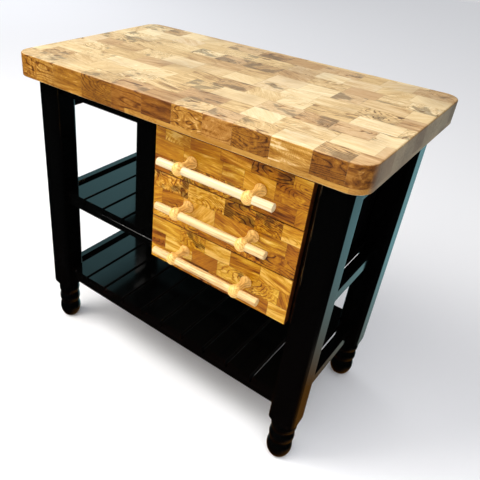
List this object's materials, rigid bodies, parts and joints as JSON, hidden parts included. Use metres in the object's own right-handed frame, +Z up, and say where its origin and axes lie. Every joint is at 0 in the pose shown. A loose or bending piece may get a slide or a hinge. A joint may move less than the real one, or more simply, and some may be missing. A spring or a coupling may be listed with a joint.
{
  "type": "kitchen island",
  "caption": "Kitchen island: thick butcher-block top on a black post-and-rail frame with turned feet, slatted shelves and a stack of drawers with bar handles.",
  "frame": {"origin": "on the floor, under the centre of the overall box, handles included", "axes": "+X along the top towards the drawer end, +Y from the drawer fronts to the back, +Z up"},
  "size_m": [0.97, 0.5728, 0.9],
  "materials": {
    "olive_wood_top": "oiled satin",
    "olive_wood_fronts": "oiled satin",
    "handle_bar_wood": "smooth satin",
    "handle_post_wood": "oiled satin",
    "drawer_box_wood": "plain sanded",
    "plain_hardwood": "plain sanded",
    "black_paint": "gloss black paint on wood",
    "screw_steel": "plain zinc"
  },
  "bodies": {
    "frame": {"bottom_drawer_runner_left": "plain_hardwood", "bottom_drawer_runner_right": "plain_hardwood", "bottom_rail_back": "black_paint", "bottom_rail_front": "black_paint", "bottom_rail_left": "black_paint", "bottom_rail_right": "black_paint", "bottom_shelf_slats": "black_paint", "case_back_panel": "black_paint", "case_panel_left": "black_paint", "case_panel_right": "black_paint", "countertop": "olive_wood_top", "divider_stile": "black_paint", "leg_back_left": "black_paint", "leg_back_right": "black_paint", "leg_front_left": "black_paint", "leg_front_right": "black_paint", "middle_drawer_runner_left": "plain_hardwood", "middle_drawer_runner_right": "plain_hardwood", "right_stile": "black_paint", "shelf_rail_back": "black_paint", "shelf_rail_front": "black_paint", "shelf_rail_left": "black_paint", "shelf_rail_right": "black_paint", "top_cleat_left": "plain_hardwood", "top_cleat_right": "plain_hardwood", "top_cleat_screws": "screw_steel", "top_drawer_runner_left": "plain_hardwood", "top_drawer_runner_right": "plain_hardwood", "top_rail_back": "black_paint", "top_rail_front": "black_paint", "top_rail_left": "black_paint", "top_rail_right": "black_paint", "upper_shelf_slats": "black_paint"},
    "bottom_drawer": {"bottom_drawer_bottom": "drawer_box_wood", "bottom_drawer_front": "olive_wood_fronts", "bottom_drawer_handle_bar": "handle_bar_wood", "bottom_drawer_handle_post_left": "handle_post_wood", "bottom_drawer_handle_post_right": "handle_post_wood", "bottom_drawer_handle_screws": "screw_steel", "bottom_drawer_rear": "drawer_box_wood", "bottom_drawer_side_left": "drawer_box_wood", "bottom_drawer_side_right": "drawer_box_wood"},
    "middle_drawer": {"middle_drawer_bottom": "drawer_box_wood", "middle_drawer_front": "olive_wood_fronts", "middle_drawer_handle_bar": "handle_bar_wood", "middle_drawer_handle_post_left": "handle_post_wood", "middle_drawer_handle_post_right": "handle_post_wood", "middle_drawer_handle_screws": "screw_steel", "middle_drawer_rear": "drawer_box_wood", "middle_drawer_side_left": "drawer_box_wood", "middle_drawer_side_right": "drawer_box_wood"},
    "top_drawer": {"top_drawer_bottom": "drawer_box_wood", "top_drawer_front": "olive_wood_fronts", "top_drawer_handle_bar": "handle_bar_wood", "top_drawer_handle_post_left": "handle_post_wood", "top_drawer_handle_post_right": "handle_post_wood", "top_drawer_handle_screws": "screw_steel", "top_drawer_rear": "drawer_box_wood", "top_drawer_side_left": "drawer_box_wood", "top_drawer_side_right": "drawer_box_wood"}
  },
  "joints": [
    {"name": "bottom_drawer_slide", "type": "slide", "parent": "frame", "child": "bottom_drawer", "axis": [0, -1, 0], "range_m": [0, 0.3]},
    {"name": "middle_drawer_slide", "type": "slide", "parent": "frame", "child": "middle_drawer", "axis": [0, -1, 0], "range_m": [0, 0.3]},
    {"name": "top_drawer_slide", "type": "slide", "parent": "frame", "child": "top_drawer", "axis": [0, -1, 0], "range_m": [0, 0.3]}
  ]
}
